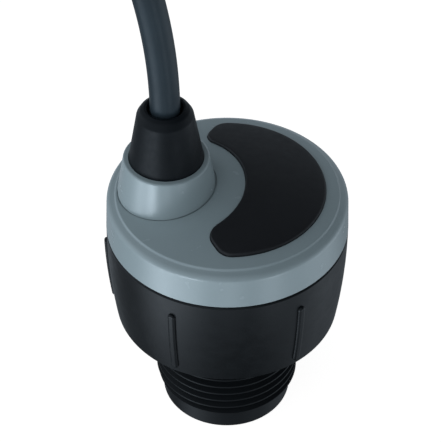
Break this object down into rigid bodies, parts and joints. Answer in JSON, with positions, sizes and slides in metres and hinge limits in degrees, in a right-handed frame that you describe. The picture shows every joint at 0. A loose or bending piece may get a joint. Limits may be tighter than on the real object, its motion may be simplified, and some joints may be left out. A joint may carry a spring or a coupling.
{
  "type": "ultrasonic distance sensor",
  "caption": "Ultrasonic distance sensor: round two-tone head with a crescent inlay and an offset cable boot, on a threaded neck with a flat sensing face.",
  "frame": {"origin": "centre of the flat sensing face, on the thread axis", "axes": "+Z along the thread axis, from the sensing face up to the cable; the cable boss stands on the -X side and the crescent on the +X side"},
  "size_m": [0.0656, 0.0536, 0.1651],
  "materials": {
    "cap_plastic": "satin, fine moulded grain, blue-grey",
    "pad_rubber": "matt black",
    "housing_plastic": "satin black, fine moulded grain",
    "barrel_plastic": "semi-gloss black",
    "boot_rubber": "matt black",
    "jacket_pvc": "slate, slightly glossy cable jacket",
    "shield_braid": "tinned braid",
    "seal_rubber": "black elastomer",
    "matching_epoxy": "fine-grained dark epoxy",
    "piezo_ceramic": "silvered ceramic",
    "sleeve_silicone": "dark silicone",
    "backing_epoxy": "filled epoxy",
    "potting_resin": "black resin",
    "copper": "bare copper",
    "sensor_epoxy": "black bead",
    "circuit_board": "green solder mask",
    "ferrite": "grey-black ferrite",
    "winding_wire": "enamelled wire",
    "capacitor_can": "drawn can",
    "chip_black": "moulded package",
    "brass": "plain",
    "screw_steel": "zinc plated",
    "connector_white": "natural nylon",
    "wire_red": "insulation",
    "wire_black": "insulation",
    "wire_white": "insulation",
    "wire_green": "insulation"
  },
  "bodies": {
    "sensor": {"backing_block": "backing_epoxy", "barrel_nut": "barrel_plastic", "barrel_o_ring": "seal_rubber", "board_header": "chip_black", "board_screws": "screw_steel", "board_standoffs": "brass", "cable_boot": "boot_rubber", "cap": "cap_plastic", "cap_o_ring": "seal_rubber", "capacitors": "capacitor_can", "conductor_black": "wire_black", "conductor_green": "wire_green", "conductor_red": "wire_red", "conductor_white": "wire_white", "crescent_pad": "pad_rubber", "decoupling_sleeve": "sleeve_silicone", "gland_nut": "barrel_plastic", "gland_seal": "seal_rubber", "header_pins": "brass", "housing": "housing_plastic", "jacket_tail": "jacket_pvc", "logic_board": "circuit_board", "logic_chips": "chip_black", "matching_layer": "matching_epoxy", "piezo_disc": "piezo_ceramic", "potting_plug": "potting_resin", "power_board": "circuit_board", "power_chips": "chip_black", "shield_tail": "shield_braid", "shoulder_o_ring": "seal_rubber", "thermistor": "sensor_epoxy", "thermistor_leads": "copper", "threaded_barrel": "barrel_plastic", "transducer_leads": "copper", "transformer_core": "ferrite", "transformer_winding": "winding_wire", "wire_plug": "connector_white", "wire_socket": "connector_white"},
    "cable": {"cable_jacket": "jacket_pvc", "cable_shield": "shield_braid", "lead_red": "wire_red", "lead_black": "wire_black", "lead_white": "wire_white", "lead_green": "wire_green", "bare_strands": "copper"}
  },
  "joints": [
    {"name": "cable_flex", "type": "hinge", "parent": "sensor", "child": "cable", "pos_m": [-0.0131, 0, 0.0849], "axis": [0, 1, 0], "range_deg": [-25, 25], "stiffness_Nm_per_rad": 0.05}
  ]
}
